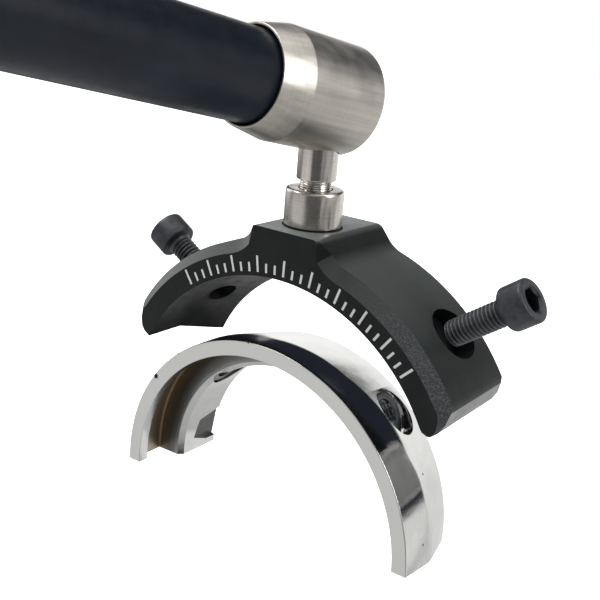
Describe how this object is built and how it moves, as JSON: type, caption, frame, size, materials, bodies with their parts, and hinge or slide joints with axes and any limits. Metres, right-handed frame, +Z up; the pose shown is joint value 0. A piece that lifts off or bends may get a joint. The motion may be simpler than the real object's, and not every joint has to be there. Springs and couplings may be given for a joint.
{
  "type": "aircraft tow bar",
  "caption": "Tow bar with a round handle that swivels on a stud above an arched clamp saddle, a polished half ring that slides into the saddle, and socket head clamp screws.",
  "frame": {"origin": "on the axis of the saddle's clamp bore, at the middle of the saddle's width", "axes": "+Y along the clamp bore's axis to the back, +Z up through the swivel post, +X to the right; the handle reaches forward along -Y"},
  "size_m": [0.1785, 0.61, 0.2345],
  "materials": {
    "black_anodised": "black anodised, satin",
    "black_tube": "black anodised, satin",
    "steel": "turned, satin",
    "dark_steel": "black oxide",
    "black_seal": "matt",
    "bronze": "plain",
    "aluminium": "turned, satin",
    "polished_ring": "polished, with small nicks and a brown stain in the groove",
    "rubber": "matt, ribbed"
  },
  "bodies": {
    "saddle_body": {"saddle": "black_anodised", "collar": "steel", "collar_seal": "black_seal", "swivel_bush": "bronze"},
    "bar_body": {"swivel_post": "steel", "pivot_washer": "steel", "pivot_screw": "dark_steel", "socket": "steel", "post_set_screw": "dark_steel", "bar_tube": "black_tube", "tube_insert": "aluminium", "grip_collar": "aluminium", "grip_sleeve": "rubber", "end_plug": "aluminium", "end_cap": "aluminium", "end_cap_screw": "dark_steel"},
    "ring_body": {"clamp_ring": "polished_ring", "thread_insert_right": "dark_steel", "thread_insert_left": "dark_steel"},
    "screw_right_body": {"clamp_screw_right": "dark_steel"},
    "screw_left_body": {"clamp_screw_left": "dark_steel"}
  },
  "joints": [
    {"name": "bar_swivel", "type": "hinge", "parent": "saddle_body", "child": "bar_body", "pos_m": [0, -0.0022, 0.0549], "axis": [0, 0, 1], "continuous": true},
    {"name": "ring_travel", "type": "slide", "parent": "saddle_body", "child": "ring_body", "axis": [0.3356, -0.2513, 0.9079], "range_m": [0, 0.02065]},
    {"name": "screw_right_travel", "type": "slide", "parent": "saddle_body", "child": "screw_right_body", "axis": [-0.809, 0, -0.5878], "range_m": [0, 0.0188]},
    {"name": "screw_left_travel", "type": "slide", "parent": "saddle_body", "child": "screw_left_body", "axis": [0.8526, 0, -0.5225], "range_m": [0, 0.0138]}
  ]
}
